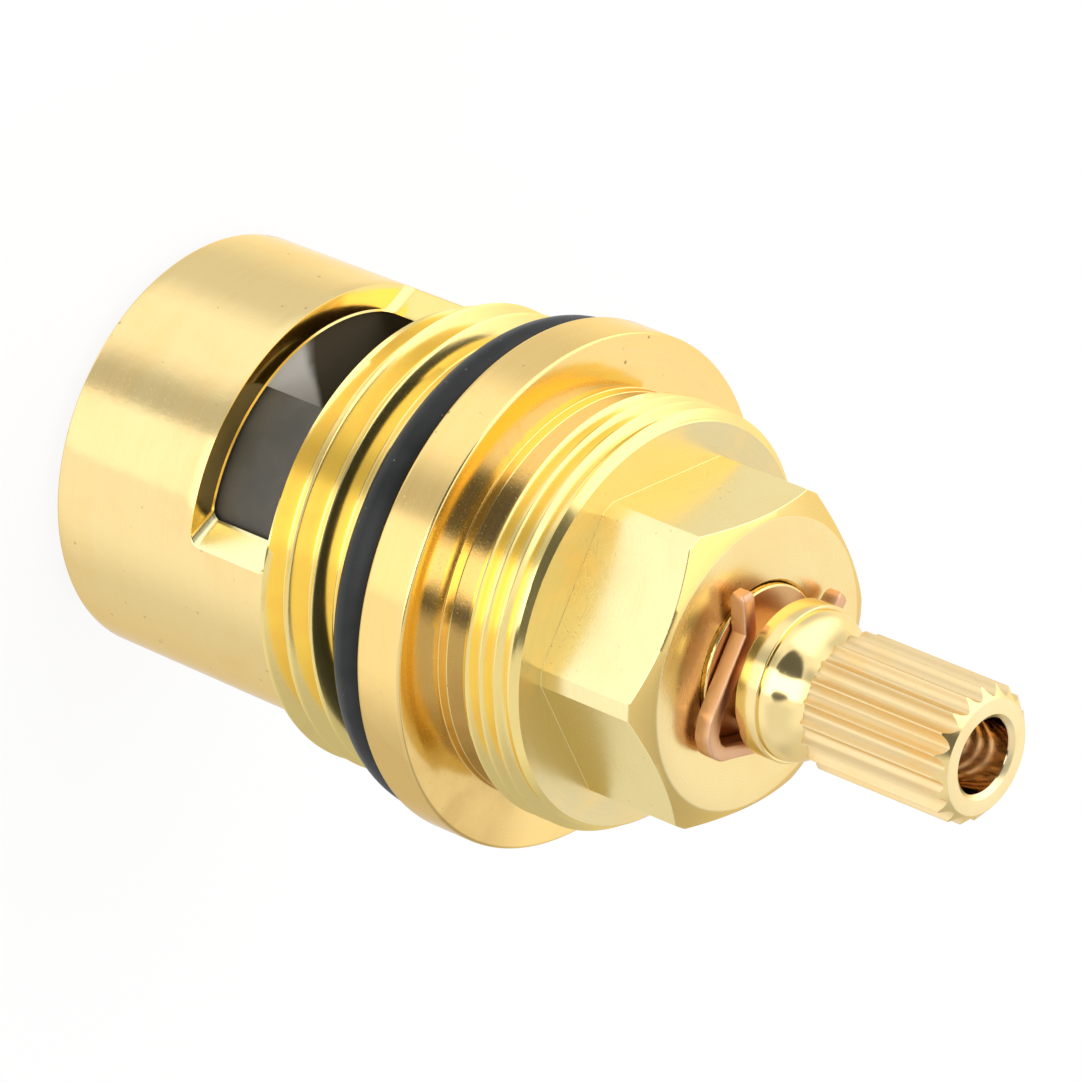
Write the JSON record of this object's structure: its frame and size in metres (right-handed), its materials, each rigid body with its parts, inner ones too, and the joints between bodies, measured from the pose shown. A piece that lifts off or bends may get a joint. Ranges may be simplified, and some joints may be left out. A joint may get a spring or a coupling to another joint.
{
  "type": "ceramic disc tap cartridge",
  "caption": "Quarter-turn brass tap cartridge with ceramic discs, side water windows, hexagon, retaining clip and splined stem.",
  "frame": {"origin": "on the axis, at the lowest point of the base seal's lip", "axes": "+Z along the axis from the base seal to the tip of the stem; the first water window faces -Y and a flat of the hexagon faces +X"},
  "size_m": [0.0292, 0.0292, 0.0563],
  "materials": {
    "brass_housing": "turned brass, satin on the cage and bright on the threads, flange and hexagon",
    "brass_stem": "bright turned brass",
    "bronze": "bright copper-coloured spring bronze",
    "rubber": "matte black moulded rubber",
    "dark_ceramic": "matte dark grey ceramic, lapped on its face",
    "white_ceramic": "white ceramic, lapped on its face",
    "white_plastic": "natural white moulded plastic"
  },
  "bodies": {
    "housing": {"housing": "brass_housing", "flange_o_ring": "rubber", "fixed_disc": "white_ceramic", "base_seal": "rubber", "support_ring": "white_plastic"},
    "stem": {"stem": "brass_stem", "retaining_clip": "bronze", "stem_o_ring_lower": "rubber", "stem_o_ring_upper": "rubber", "glide_washer": "white_plastic", "moving_disc": "dark_ceramic"}
  },
  "joints": [
    {"name": "stem_turn", "type": "hinge", "parent": "housing", "child": "stem", "pos_m": [0, 0, 0.03], "axis": [0, 0, 1], "range_deg": [0, 90]}
  ]
}
